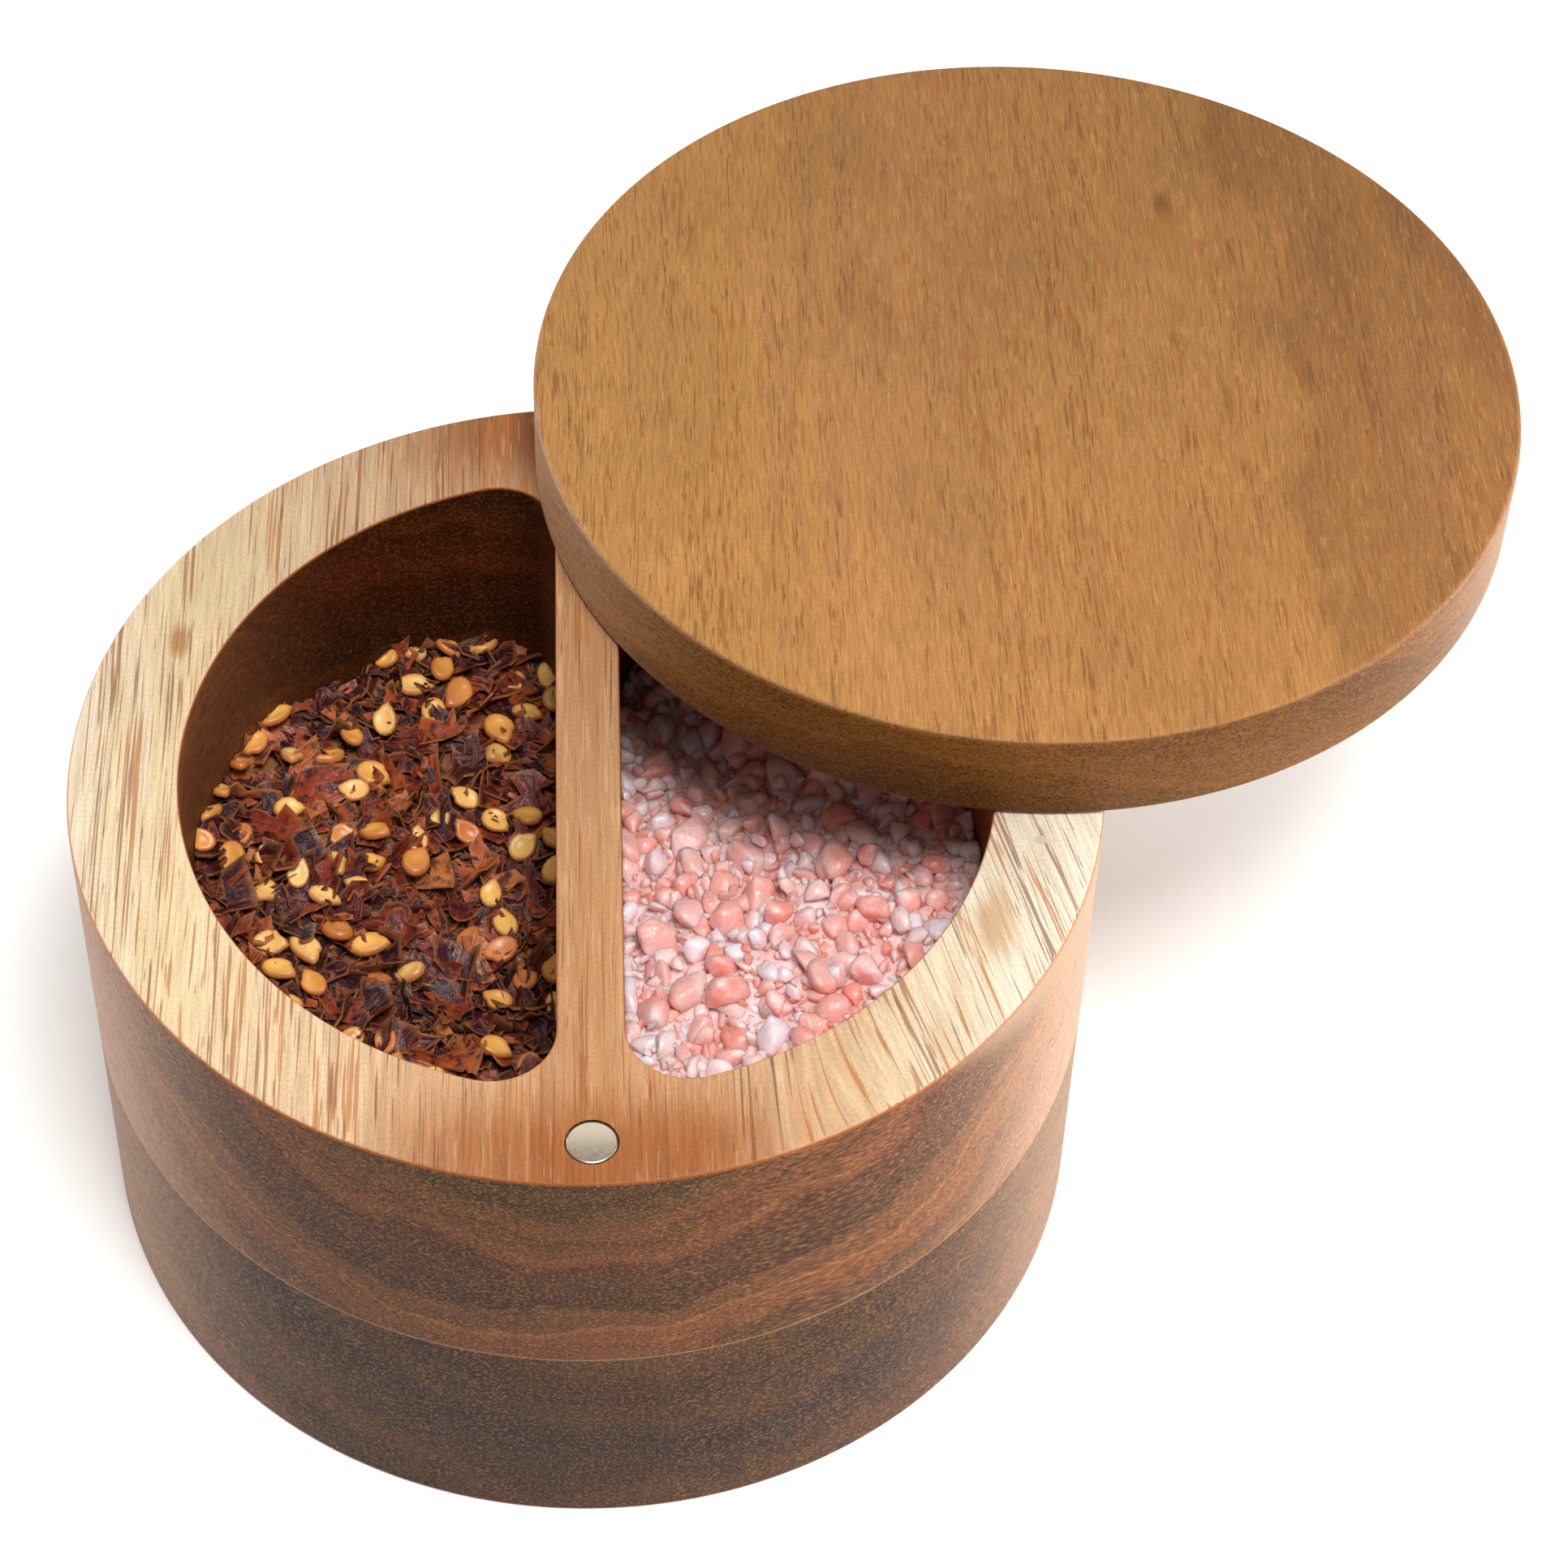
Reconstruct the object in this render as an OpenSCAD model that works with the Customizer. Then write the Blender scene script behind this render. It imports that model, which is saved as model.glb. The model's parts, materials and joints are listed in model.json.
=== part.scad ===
// Round wooden spice box: a tub with two D-shaped wells under a lid that swivels sideways.
// The origin is the centre of the underside and +Z is up. The magnet in the rim is at -Y,
// the pivot pin is at +Y, and the divider between the wells runs along Y.

/* [Tub] */
// Outer diameter of the tub
tub_d = 127; // [124:1:150]
// Height of the tub, from the underside to the rim
tub_h = 69; // [64:1:90]
// Thickness of the lower board, up to the glue line
base_board_t = 33.5; // [24:0.5:38]
// Thickness of the floor under the wells
floor_t = 12; // [6:0.5:16]
// Width of the easing along the tub's outer edges
tub_edge = 0.5; // [0.2:0.1:1.5]

/* [Wells] */
// Radius of the wells' round side
well_r = 50; // [42:0.5:51]
// Width of the divider between the wells
divider_w = 8; // [6:0.5:14]
// Radius of the wells' rounded corners
corner_r = 7.5; // [3:0.5:12]

/* [Lid] */
// Diameter of the lid
lid_d = 128; // [124:1:152]
// Thickness of the lid
lid_t = 13; // [12:0.5:18]
// Width of the easing along the lid's edges
lid_edge = 0.8; // [0.2:0.1:2]
// Gap between the rim and the lid
lid_gap = 0.2; // [0.1:0.1:0.6]
// Angle that the lid is swung open by
lid_open = 87; // [0:1:180]

/* [Pivot] */
// Distance from the tub's axis to the pivot pin and to the magnet
pitch_r = 57.5; // [56:0.5:58]
// Diameter of the pivot pin
pin_d = 5; // [4:0.5:6]
// Depth of the pivot pin in the rim
pin_depth = 24; // [12:1:28]
// Length of the pivot pin above the rim
pin_reach = 9; // [6:0.5:9]
// Wall of the sleeve in the lid
sleeve_wall = 1; // [0.5:0.1:1.2]
// Radial clearance between the pin and its sleeve
sleeve_play = 0.03; // [0.02:0.01:0.08]

/* [Magnets] */
// Diameter of the magnets
magnet_d = 6; // [4:0.5:8]
// Thickness of the magnets
magnet_t = 3; // [2:0.5:4]
// Glue gap round the magnets
magnet_gap = 0.15; // [0.05:0.05:0.3]

/* [Rim pin] */
// Diameter of the small pin in the rim
rim_pin_d = 1.5; // [1:0.1:2]
// Length of the small pin
rim_pin_l = 14; // [6:1:20]
// Distance from the tub's axis to the small pin
rim_pin_r = 56.3; // [54:0.1:59]
// Angle of the small pin from the +X side towards the magnet
rim_pin_angle = 13.6; // [0:0.1:60]

/* [Filling] */
// Height of the spices beside the divider
fill_low = 38; // [20:1:48]
// Height of the spices at the round side
fill_high = 50; // [20:1:60]
// Gap between the spices and the walls
fill_gap = 0.1; // [0.05:0.05:0.5]

/* [Hidden] */
$fn = 96;

tub_r = tub_d / 2;
lid_r = lid_d / 2;
lid_z = tub_h + lid_gap;
half_divider = divider_w / 2;
sleeve_r = pin_d / 2 + sleeve_play + sleeve_wall;
// The sleeve ends a little past the tip of the pin
sleeve_l = pin_reach - lid_gap + 0.5;
// Cutters run this far past the faces they cut
past = 1;

// Edge profile of a round board: straight side, rounded easing where asked for
function eased_corner(r, z, e, from) =
    [for (i = [0 : 4]) let (a = from + i * 22.5) [r - e + e * cos(a), z + e * sin(a)]];

module round_board(r, low, high, ease_low, ease_high) {
    rotate_extrude()
        polygon(concat(
            [[0, low]],
            ease_low > 0 ? eased_corner(r, low + ease_low, ease_low, -90) : [[r, low]],
            ease_high > 0 ? eased_corner(r, high - ease_high, ease_high, 0) : [[r, high]],
            [[0, high]]));
}

// Outline of the well on the +X side, drawn in by the inset all round
module well_outline(inset) {
    r = well_r - inset;
    x = half_divider + inset;
    q = corner_r - inset;
    corner_x = x + q;
    corner_y = sqrt(pow(r - q, 2) - pow(corner_x, 2));
    difference() {
        intersection() {
            circle(r = r);
            translate([x, -r])
                square([r, 2 * r]);
        }
        for (side = [-1, 1])
            difference() {
                polygon([
                    [x - past, side * corner_y],
                    [corner_x, side * corner_y],
                    [corner_x * (r + past) / (r - q), side * corner_y * (r + past) / (r - q)],
                    [x - past, side * (r + past)]]);
                translate([corner_x, side * corner_y])
                    circle(r = q);
            }
    }
}

// Both wells, cut from one height to another
module wells(low, high) {
    for (side = [0, 1])
        mirror([side, 0, 0])
            translate([0, 0, low])
                linear_extrude(high - low)
                    well_outline(0);
}

// Moves what is drawn over the tub, as on a closed lid, to where the open lid has it
module swung_open() {
    translate([0, pitch_r, 0])
        rotate([0, 0, lid_open])
            translate([0, -pitch_r, 0])
                children();
}

module at_rim_pin() {
    rotate([0, 0, -rim_pin_angle])
        translate([rim_pin_r, 0, tub_h])
            children();
}

module tub_base_board() {
    color("#6b4c3a")
        difference() {
            round_board(tub_r, 0, base_board_t, tub_edge, 0);
            wells(floor_t, base_board_t + past);
        }
}

module tub_top_board() {
    color("#c99a63")
        difference() {
            round_board(tub_r, base_board_t, tub_h, 0, tub_edge);
            wells(base_board_t - past, tub_h + past);
            translate([0, pitch_r, tub_h - pin_depth])
                cylinder(d = pin_d, h = pin_depth + past);
            translate([0, -pitch_r, tub_h - magnet_t])
                cylinder(r = magnet_d / 2 + magnet_gap, h = magnet_t + past);
            at_rim_pin()
                translate([0, 0, -rim_pin_l])
                    cylinder(d = rim_pin_d, h = rim_pin_l + past);
        }
}

module lid() {
    color("#b9803f")
        swung_open()
            difference() {
                round_board(lid_r, lid_z, lid_z + lid_t, lid_edge, lid_edge);
                translate([0, pitch_r, lid_z - past])
                    cylinder(r = sleeve_r, h = sleeve_l + past);
                translate([0, -pitch_r, lid_z - past])
                    cylinder(r = magnet_d / 2 + magnet_gap, h = magnet_t + past);
            }
}

module pivot_pin() {
    color("#b8bcc0")
        translate([0, pitch_r, tub_h - pin_depth])
            cylinder(d = pin_d, h = pin_depth + pin_reach);
}

module lid_sleeve() {
    color("#c9a552")
        translate([0, pitch_r, lid_z])
            difference() {
                cylinder(r = sleeve_r, h = sleeve_l);
                translate([0, 0, -past])
                    cylinder(r = pin_d / 2 + sleeve_play, h = sleeve_l + 2 * past);
            }
}

// Disc magnet with its edges broken, standing on the given height
module disc_magnet(low) {
    edge = 0.2;
    color("#d8d0c4")
        translate([0, -pitch_r, 0])
            round_board(magnet_d / 2, low, low + magnet_t, edge, edge);
}

module tub_magnet() {
    disc_magnet(tub_h - magnet_t);
}

module lid_magnet() {
    swung_open()
        disc_magnet(lid_z);
}

module rim_pin() {
    color("#aaa49c")
        at_rim_pin()
            translate([0, 0, -rim_pin_l])
                cylinder(d = rim_pin_d, h = rim_pin_l);
}

// Spices in the well on the +X side, sloping up from the divider to the round side
module filling() {
    intersection() {
        translate([0, 0, floor_t])
            linear_extrude(tub_h)
                well_outline(fill_gap);
        rotate([90, 0, 0])
            linear_extrude(2 * tub_r, center = true)
                polygon([
                    [0, floor_t],
                    [well_r + past, floor_t],
                    [well_r + past, fill_high],
                    [well_r, fill_high],
                    [half_divider, fill_low],
                    [0, fill_low]]);
    }
}

module chilli_flakes() {
    color("#5a1d12")
        mirror([1, 0, 0])
            filling();
}

module rock_salt() {
    color("#e8b0a4")
        filling();
}

tub_base_board();
tub_top_board();
lid();
pivot_pin();
lid_sleeve();
tub_magnet();
lid_magnet();
rim_pin();
chilli_flakes();
rock_salt();
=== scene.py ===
import json
import math
import random

import bmesh
import bpy
from mathutils import Matrix, Quaternion, Vector, noise


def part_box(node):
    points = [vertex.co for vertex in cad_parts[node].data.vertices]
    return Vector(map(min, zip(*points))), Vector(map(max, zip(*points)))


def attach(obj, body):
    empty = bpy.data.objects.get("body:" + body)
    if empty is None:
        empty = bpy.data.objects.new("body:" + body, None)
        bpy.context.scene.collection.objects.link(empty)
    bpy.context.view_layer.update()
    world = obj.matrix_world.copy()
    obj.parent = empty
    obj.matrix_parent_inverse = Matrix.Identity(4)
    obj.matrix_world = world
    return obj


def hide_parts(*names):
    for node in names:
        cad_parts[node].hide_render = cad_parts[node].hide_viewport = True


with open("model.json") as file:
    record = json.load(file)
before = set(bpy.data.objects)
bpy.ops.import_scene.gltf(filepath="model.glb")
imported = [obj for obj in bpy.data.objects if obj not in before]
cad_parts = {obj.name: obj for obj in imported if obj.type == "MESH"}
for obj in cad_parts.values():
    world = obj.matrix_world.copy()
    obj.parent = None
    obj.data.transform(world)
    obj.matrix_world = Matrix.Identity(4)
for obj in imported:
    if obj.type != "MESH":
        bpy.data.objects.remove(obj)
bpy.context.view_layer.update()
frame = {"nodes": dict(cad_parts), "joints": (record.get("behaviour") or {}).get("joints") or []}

mm = 0.001


def linearColor(hexText):
    values = [int(hexText[i:i + 2], 16) / 255 for i in (1, 3, 5)]
    return [v / 12.92 if v <= 0.04045 else ((v + 0.055) / 1.055) ** 2.4 for v in values] + [1.0]


def feed(tree, node, inputs):
    # Inputs are a list, in the order of the node's sockets, or a dictionary by their names. Each takes a
    # value, a hex colour, a socket, or a node whose first output it reads
    shown = [socket for socket in node.inputs if socket.enabled]
    for key, value in inputs.items() if isinstance(inputs, dict) else enumerate(inputs):
        socket = shown[key] if isinstance(key, int) else next(s for s in shown if s.name == key)
        if isinstance(value, bpy.types.Node):
            value = next(s for s in value.outputs if s.enabled)
        if isinstance(value, bpy.types.NodeSocket):
            tree.links.new(value, socket)
        elif isinstance(value, str) and value.startswith("#"):
            socket.default_value = linearColor(value)
        else:
            socket.default_value = value


def addNode(tree, kind, inputs=(), **settings):
    node = tree.nodes.new(kind if "Node" in kind else "ShaderNode" + kind)
    for key, value in settings.items():
        setattr(node, key, value)
    feed(tree, node, inputs)
    return node


# Settings that many nodes share
eased = {"interpolation_type": "SMOOTHSTEP"}
mixed = {"data_type": "RGBA"}


def setStops(ramp, stops):
    elements = ramp.color_ramp.elements
    while len(elements) < len(stops):
        elements.new(0.5)
    for element, (place, color) in zip(elements, stops):
        element.position = place
        element.color = linearColor(color)
    return ramp


def newMaterial(name, values):
    material = bpy.data.materials.new(name)
    material.use_nodes = True
    tree = material.node_tree
    tree.nodes.clear()
    shader = addNode(tree, "BsdfPrincipled", values)
    addNode(tree, "OutputMaterial", {"Surface": shader})
    return material, tree, shader


def meshFrom(bm, name, sharpAngle=180):
    mesh = bpy.data.meshes.new(name)
    bm.to_mesh(mesh)
    bm.free()
    if sharpAngle < 180:
        mesh.set_sharp_from_angle(angle=math.radians(sharpAngle))
    return mesh


def joinLoops(bm, below, above, smooth=True):
    # A band of faces between two loops of as many points
    for i, vertex in enumerate(below):
        j = (i + 1) % len(below)
        bm.faces.new((vertex, below[j], above[j], above[i])).smooth = smooth


def addPiece(name, mesh, materials, body, replaced):
    for material in materials:
        mesh.materials.append(material)
    piece = bpy.data.objects.new(name, mesh)
    bpy.context.scene.collection.objects.link(piece)
    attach(piece, body)
    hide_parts(*replaced)


# Sizes that several pieces share; the outer ones come from the frame
tubLow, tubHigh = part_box("tub_top_board")
baseLow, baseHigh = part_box("tub_base_board")
lidLow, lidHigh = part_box("lid")
swivel = frame["joints"][0]
pivot = Vector(swivel["pos_m"])
swing = -math.radians(swivel["range_deg"][0])  # at the joint's lower limit the lid is closed
toOpen = Matrix.Translation(pivot) @ Matrix.Rotation(swing, 4, "Z") @ Matrix.Translation(-pivot)

tub = {
    "radius": (tubHigh.x - tubLow.x) / 2,
    "rim": tubHigh.z,
    "glueLine": baseHigh.z,
    "floor": 12 * mm,
    "edge": 0.5 * mm,
    "turns": 288,
}
well = {
    "radius": 50 * mm,
    "halfDivider": 4 * mm,
    "corner": 7.5 * mm,
    "mouthEdge": 0.4 * mm,
    "roundPoints": 110,
    "cornerPoints": 16,
    "straightPoints": 26,
}
cornerX = well["halfDivider"] + well["corner"]  # centre of a corner's arc, on the salt's side
cornerY = math.sqrt((well["radius"] - well["corner"]) ** 2 - cornerX ** 2)
lid = {
    "radius": 64 * mm,
    "under": lidLow.z,
    "top": lidHigh.z,
    "edge": 0.8 * mm,
    "turns": 320,
}
magnet = {"radius": 3 * mm, "gap": 0.15 * mm, "thick": 3 * mm, "edge": 0.28 * mm, "turns": 72}
pin = {"radius": 2.5 * mm, "depth": 24 * mm, "sleeveRadius": 3.53 * mm, "sleeveDepth": 9.3 * mm}
rimPin = {"radius": 0.75 * mm, "depth": 14 * mm, "pitch": 56.3 * mm, "angle": math.radians(-13.6)}
holePoints = 48
quarter = [math.pi / 2 * i / 4 for i in range(5)]  # angles of the loops across a rounded edge


def circlePoints(radius, count, centre=(0, 0)):
    angles = [2 * math.pi * i / count for i in range(count)]
    return [(centre[0] + radius * math.cos(a), centre[1] + radius * math.sin(a)) for a in angles]


def wellPoints(inset, side):
    # The D with rounded corners, counter-clockwise; side is 1 for the salt's well, -1 for the chilli's
    turn = math.atan2(cornerY, cornerX)
    q = well["corner"] - inset
    points = []
    for i in range(well["cornerPoints"]):
        a = -math.pi + (math.pi - turn) * i / well["cornerPoints"]
        points.append((cornerX + q * math.cos(a), -cornerY + q * math.sin(a)))
    for i in range(well["roundPoints"]):
        a = -turn + 2 * turn * i / well["roundPoints"]
        points.append(((well["radius"] - inset) * math.cos(a), (well["radius"] - inset) * math.sin(a)))
    for i in range(well["cornerPoints"]):
        a = turn + (math.pi - turn) * i / well["cornerPoints"]
        points.append((cornerX + q * math.cos(a), cornerY + q * math.sin(a)))
    for i in range(well["straightPoints"]):
        points.append((well["halfDivider"] + inset, cornerY * (1 - 2 * i / well["straightPoints"])))
    return points if side > 0 else [(-x, y) for x, y in reversed(points)]


def roundedRows(radius, low, high, easeLow, easeHigh):
    # Radius and height of each loop up the outside of a round board
    below = [(radius - easeLow * (1 - math.sin(a)), low + easeLow * (1 - math.cos(a))) for a in quarter]
    above = [(radius - easeHigh * (1 - math.cos(a)), high - easeHigh * (1 - math.sin(a))) for a in quarter]
    return (below if easeLow else [(radius, low)]) + (above if easeHigh else [(radius, high)])


def boardMesh(name, rows, turns, holes):
    # A round board. Each hole gives an outline by inset, its mouth's and end's heights, and its mouth's edge
    bm = bmesh.new()
    low, high = rows[0][1], rows[-1][1]

    def addLoop(points, z):
        return [bm.verts.new((x, y, z)) for x, y in points]

    def fillBetween(loops, up):
        edges = []
        for loop in loops:
            for i, vertex in enumerate(loop):
                pair = (vertex, loop[(i + 1) % len(loop)])
                edges.append(bm.edges.get(pair) or bm.edges.new(pair))
        made = bmesh.ops.triangle_fill(bm, use_beauty=True, edges=edges)["geom"]
        for face in [f for f in made if isinstance(f, bmesh.types.BMFace)]:
            face.normal_update()
            face.smooth = False
            if (face.normal.z > 0) != up:
                face.normal_flip()

    outside = [addLoop(circlePoints(r, turns), z) for r, z in rows]
    for below, above in zip(outside, outside[1:]):
        joinLoops(bm, below, above)
    flats = {low: [outside[0]], high: [outside[-1]]}
    for hole in holes:
        mouth, end, edge, outline = hole["mouth"], hole["end"], hole.get("edge", 0), hole["outline"]
        downward = 1 if mouth > end else -1
        steps = [(0, mouth)]
        if edge:
            steps = [(-edge * (1 - math.sin(a)), mouth - downward * edge * (1 - math.cos(a)))
                     for a in quarter]
        loops = [addLoop(outline(inset), z) for inset, z in steps + [(0, end)]]
        for first, second in zip(loops, loops[1:]):
            joinLoops(bm, *((first, second) if downward > 0 else (second, first)))
        flats[mouth].append(loops[0])
        if end in flats:
            flats[end].append(loops[-1])
        else:
            fillBetween([loops[-1]], downward > 0)
    fillBetween(flats[high], True)
    fillBetween(flats[low], False)
    return meshFrom(bm, name, 50)


def roundHole(radius, mouth, end, centre):
    def outline(inset):
        return circlePoints(radius - inset, holePoints, centre)
    return {"outline": outline, "mouth": mouth, "end": end}


def wellHoles(mouth, end, edge):
    outlines = [lambda inset, side=side: wellPoints(inset, side) for side in (-1, 1)]
    return [{"outline": outline, "mouth": mouth, "end": end, "edge": edge} for outline in outlines]


# Camera, at the place the photograph was taken from
camera = {
    "place": (1.70 * mm, -336.38 * mm, 446.52 * mm),
    "aim": (25.61 * mm, 21.87 * mm, 40.0 * mm),
    "roll": math.radians(2.15),
    "lens": 94.46,
}


def makeCamera():
    data = bpy.data.cameras.new("camera")
    data.lens, data.sensor_width = camera["lens"], 36
    data.clip_start, data.clip_end = 0.01, 20
    view = bpy.data.objects.new("camera", data)
    bpy.context.scene.collection.objects.link(view)
    place, aim = Vector(camera["place"]), Vector(camera["aim"])
    view.location = place
    view.rotation_mode = "QUATERNION"
    view.rotation_quaternion = (aim - place).to_track_quat("-Z", "Y") @ Quaternion((0, 0, 1), camera["roll"])
    bpy.context.scene.camera = view


makeCamera()
print("camera placed")


# Oiled acacia: satin and open-pored. The pattern is solid, so pores and lines run long along the grain,
# which is Y, and show as dots across it. The finest are drawn a little coarser than real, so that they show
def woodMaterial(name, look):
    material, tree, shader = newMaterial(name, {"IOR": 1.5, "Specular IOR Level": look["sheen"]})

    def cloud(source, size, shift=0.0, detail=2.0, rough=0.55):
        # Soft blots of about the given size in mm along x, y and z
        shift += look["seed"]
        sized = addNode(tree, "Mapping", {"Vector": source, "Location": (shift, shift * 0.37, 0),
                                          "Scale": [1 / s for s in size]})
        return addNode(tree, "TexNoise", {"Vector": sized, "Scale": 1, "Detail": detail, "Roughness": rough})

    def dots(source, size, radius, soft, shift):
        # One dot in each cell of the given size in mm; the radius is a share of the cell
        shift += look["seed"]
        sized = addNode(tree, "Mapping", {"Vector": source, "Location": (shift, shift * 0.37, 0),
                                          "Scale": [1 / s for s in size]})
        cells = addNode(tree, "TexVoronoi", {"Vector": sized, "Scale": 1.0})
        beyond = addNode(tree, "Math", [cells, radius], operation="SUBTRACT")
        return addNode(tree, "MapRange", [beyond, -soft, soft, 1, 0], **eased)

    def swayed(value, pattern, amount):
        # Moves a value to either side by a pattern that runs from 0 to 1
        centred = addNode(tree, "Math", [pattern, 0.5], operation="SUBTRACT")
        return addNode(tree, "Math", [centred, amount, value], operation="MULTIPLY_ADD")

    # A fade is a source, its low and its high, and what each of these becomes
    def kept(mask, *fade):
        share = addNode(tree, "MapRange", fade, **eased)
        return addNode(tree, "Math", [mask, share], operation="MULTIPLY")

    def shaded(color, *fade):
        amount = addNode(tree, "MapRange", fade, **eased)
        grey = addNode(tree, "CombineColor", [amount, amount, amount])
        return addNode(tree, "Mix", [1.0, color, grey], blend_type="MULTIPLY", **mixed)

    def stained(color, stain, *fade):
        amount = addNode(tree, "MapRange", fade, **eased)
        return addNode(tree, "Mix", [amount, color, stain], **mixed)

    # Grain that wanders, and leans over towards the rim's right side
    place = addNode(tree, "TexCoord")
    inMm = addNode(tree, "VectorMath", [place.outputs["Object"], 1000], operation="SCALE")
    x, y, z = addNode(tree, "SeparateXYZ", [inMm]).outputs
    drift = cloud(inMm, look["wanderSize"])
    centred = addNode(tree, "VectorMath", [drift.outputs["Color"], (0.5, 0.5, 0.5)], operation="SUBTRACT")
    wander = addNode(tree, "VectorMath", [centred, (look["wander"], 0, look["wander"])], operation="MULTIPLY")
    wandered = addNode(tree, "VectorMath", [inMm, wander], operation="ADD")
    leaning = addNode(tree, "MapRange", [x, look["leanFrom"], look["leanTo"], 0, look["lean"]], **eased)
    leaning = addNode(tree, "Math", [leaning, y], operation="MULTIPLY")
    sideways = addNode(tree, "CombineXYZ", [leaning])
    grain = addNode(tree, "VectorMath", [wandered, sideways], operation="ADD")

    # Which way the surface faces: a flat face, end grain or long grain
    facing = addNode(tree, "SeparateXYZ", [place.outputs["Normal"]])
    upright = addNode(tree, "Math", [facing.outputs["Z"]], operation="ABSOLUTE")
    forward = addNode(tree, "Math", [facing.outputs["Y"]], operation="ABSOLUTE")
    flat = addNode(tree, "MapRange", [upright, 0.6, 0.9], **eased)
    endGrain = addNode(tree, "MapRange", [forward, 0.25, 0.95], **eased)
    acrossGrain = addNode(tree, "Math", [1.0, flat], operation="SUBTRACT")
    acrossGrain = addNode(tree, "Math", [endGrain, acrossGrain], operation="MULTIPLY")

    # Growth rings about the pith, with fine rows of vessels in them
    clouds = cloud(inMm, look["cloud"], 3.1, 3.0)
    pithX, pithZ = look["pith"]
    fromPith = addNode(tree, "VectorMath", [grain, (pithX, 0, pithZ)], operation="SUBTRACT")
    fromPith = addNode(tree, "VectorMath", [fromPith, (1, look["arch"], 1)], operation="MULTIPLY")
    ring = swayed(addNode(tree, "VectorMath", [fromPith], operation="LENGTH"), clouds, look["ringDrift"])
    bands, rows = (addNode(tree, "TexNoise", {
        "W": addNode(tree, "Math", [ring, look[width]], operation="DIVIDE"), "Scale": 1.0,
        "Detail": detail, "Roughness": rough}, noise_dimensions="1D")
        for width, detail, rough in (("band", 5.0, 0.65), ("row", 2.0, 0.6)))

    # Fine figure that every face shows
    fibres = cloud(grain, look["fibre"], 5.3, 3.0, 0.7)
    streaks = cloud(grain, look["streak"], 7.7, 3.0, 0.6)
    gather = cloud(grain, look["gather"], 9.1)
    speckle = cloud(inMm, look["speckle"], 2.2, 1.0)
    lineNoise = swayed(cloud(grain, look["line"], 11.9, 1.0, 0.5), gather, look["gatherDepth"])
    lines = addNode(tree, "MapRange", [lineNoise, look["lineFrom"], look["lineTo"]], **eased)

    # Flat faces: a colour from side to side that streaks and rings move about
    wide = look["boardWide"]
    moved = addNode(tree, "Math", [x, 1 / wide, 0.5 - look["middle"] / wide], operation="MULTIPLY_ADD")
    moved = swayed(swayed(moved, streaks, look["streakShift"]), bands, look["bandShift"])
    face = setStops(addNode(tree, "ValToRGB", [moved]), look["face"])
    # Painted light and shade: the face is lighter towards the front and darker towards the back
    face = shaded(face, y, -60, 110, look["frontPaintedLight"], look["backPaintedLight"])
    # Painted shade: the rim's face is darker at its front and back, where the divider ends
    fromX, fromY = (addNode(tree, "Math", [axis], operation="ABSOLUTE") for axis in (x, y))
    oiled = addNode(tree, "MapRange", [fromY, 46, 58, 0, look["rimEndShade"]], **eased)
    oiled = kept(oiled, fromX, 10, 32, 1, 0.1)
    face = addNode(tree, "Mix", [oiled, face, look["rimEndShadeColor"]], blend_type="MULTIPLY", **mixed)
    for source, low, high, depth in ((fibres, 0.25, 0.75, look["fibreDepth"]),
                                     (clouds, 0.3, 0.7, -look["cloudDepth"]), (speckle, 0.3, 0.7, 0.08)):
        face = shaded(face, source, low, high, 1 - depth, 1 + depth)
    strength = addNode(tree, "Math", [lines, look["lineStrength"]], operation="MULTIPLY")
    lineColor = stained(look["lineWarm"], look["lineDark"], streaks, 0.4, 0.6, 0, 1)
    face = addNode(tree, "Mix", [strength, face, lineColor], **mixed)
    pale = cloud(grain, look["paleDash"], 14.3, 1.0)
    face = stained(face, look["palest"], pale, 0.6, 0.7, 0, look["paleStrength"])
    for spotX, spotY, spotSize, spotColor in look["knots"]:
        near = addNode(tree, "VectorMath", [inMm, (spotX, spotY, 0)], operation="SUBTRACT")
        near = addNode(tree, "VectorMath", [near, look["knotShape"]], operation="MULTIPLY")
        near = addNode(tree, "VectorMath", [near], operation="LENGTH")
        near = swayed(near, fibres, spotSize * 1.6)
        face = stained(face, spotColor, near, spotSize * 0.4, spotSize * 1.6, 0.75, 0)

    # Upright sides: zones that follow the rings, paler along the grain (partly the wood's own tone, partly a
    # painted sheen), with vessels as dashes
    zone = addNode(tree, "MapRange", [swayed(ring, streaks, 3.0), look["ringFrom"], look["ringTo"]])
    side = setStops(addNode(tree, "ValToRGB", [zone]), look["side"])
    side = shaded(side, bands, 0.3, 0.7, 1 - look["bandDepth"], 1 + look["bandDepth"])
    side = shaded(side, fibres, 0.3, 0.7, 0.76, 1.24)
    # Paler where the grain runs along the face: partly the wood's own tone, partly a painted sheen on the
    # sides that face left and right
    side = stained(side, look["longPaleSheenColor"], endGrain, 0, 1, look["longPaleAndSheen"], 0)
    # Painted shade: the sides grow darker towards the left
    side = shaded(side, x, -40, 40, look["leftPaintedShade"], look["rightPaintedShade"])
    side = shaded(side, rows, 0.3, 0.7, 0.86, 1.14)
    dashes = cloud(grain, look["dash"], 6.4, 1.0)
    side = shaded(side, dashes, 0.32, 0.55, 0.66, 1.06)
    side = stained(side, look["speckColor"], dashes, 0.55, 0.72, 0, look["dashStrength"])
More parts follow.
